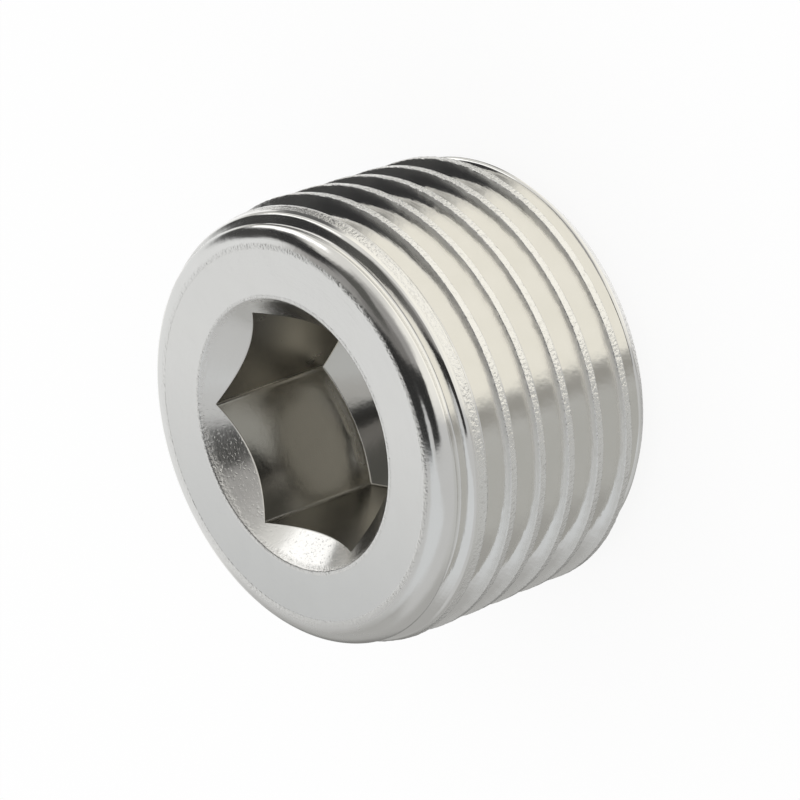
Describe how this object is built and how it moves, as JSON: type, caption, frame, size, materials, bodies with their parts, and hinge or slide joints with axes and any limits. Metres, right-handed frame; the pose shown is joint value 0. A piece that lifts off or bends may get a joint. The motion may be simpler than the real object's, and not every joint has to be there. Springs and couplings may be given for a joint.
{
  "type": "pipe plug",
  "caption": "Countersunk pipe plug: a short right-hand taper-threaded body, closed at its small end, with a hexagon socket for a key sunk in its flat large end.",
  "frame": {"origin": "centre of the flat small end", "axes": "+Z along the plug's axis from the small end towards the mouth of the socket; +X through a corner of the hexagon socket"},
  "size_m": [0.0208, 0.0208, 0.0132],
  "materials": {
    "nickel": "bright nickel plate over turned brass"
  },
  "bodies": {
    "root": {"plug": "nickel"}
  },
  "joints": []
}
